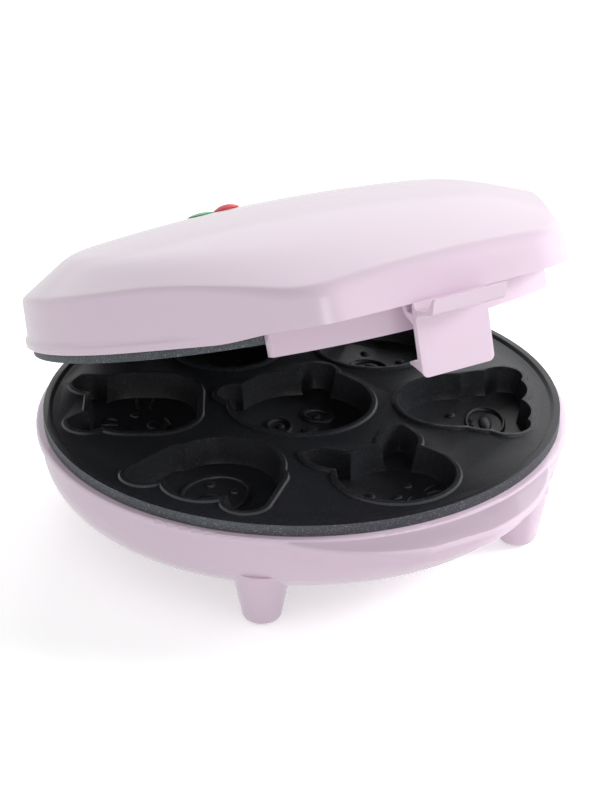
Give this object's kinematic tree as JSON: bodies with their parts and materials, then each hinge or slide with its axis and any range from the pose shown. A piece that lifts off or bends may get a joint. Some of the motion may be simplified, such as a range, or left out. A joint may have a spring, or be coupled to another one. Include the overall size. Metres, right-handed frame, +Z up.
{
  "type": "mini cake maker",
  "caption": "Round countertop cake baker with a hinged domed lid, a front snap latch, and two dark plates with small animal-head cavities, on short legs.",
  "frame": {"origin": "middle of the outer box, at the level that the feet stand on, with the lid open as stored", "axes": "+Z up, -Y towards the latch and the user, +X to the user's right, the lid's hinge along X at the back"},
  "size_m": [0.212, 0.2398, 0.1492],
  "materials": {
    "pink_plastic": "glossy pale pink",
    "plate_coating": "satin dark grey non-stick coating on cast metal",
    "rubber": "matt",
    "steel": "plain",
    "reflector_sheet": "bright sheet",
    "element_sheath": "dark, heat-tinted",
    "dark_moulding": "matt",
    "red_lens": "clear red",
    "green_lens": "clear green",
    "lamp_glass": "clear"
  },
  "bodies": {
    "base": {"base_shell": "pink_plastic", "foot_pads": "rubber", "lower_baking_plate": "plate_coating", "lower_plate_screws": "steel", "lower_heating_element": "element_sheath", "lower_element_clips": "steel", "lower_reflector": "reflector_sheet", "thermostat": "dark_moulding", "thermal_fuse": "dark_moulding", "terminal_block": "dark_moulding", "cord_gland": "rubber", "hinge_pins": "steel"},
    "lid": {"lid_shell": "pink_plastic", "lid_skirt": "pink_plastic", "lid_skirt_screws": "steel", "upper_baking_plate": "plate_coating", "upper_plate_screws": "steel", "upper_heating_element": "element_sheath", "upper_element_clips": "steel", "upper_reflector": "reflector_sheet", "red_lamp_lens": "red_lens", "green_lamp_lens": "green_lens", "lamp_holder": "dark_moulding", "neon_lamps": "lamp_glass", "latch_pin": "steel"},
    "latch": {"latch": "pink_plastic", "latch_spring": "steel"}
  },
  "joints": [
    {"name": "lid_hinge", "type": "hinge", "parent": "base", "child": "lid", "pos_m": [0, 0.11028, 0.0429], "axis": [-1, 0, 0], "range_deg": [-20.38, 85]},
    {"name": "latch_pivot", "type": "hinge", "parent": "lid", "child": "latch", "pos_m": [0, -0.0957, 0.13713], "axis": [-1, 0, 0], "range_deg": [0, 20], "stiffness_Nm_per_rad": 0.06, "springref_deg": -5.73}
  ]
}
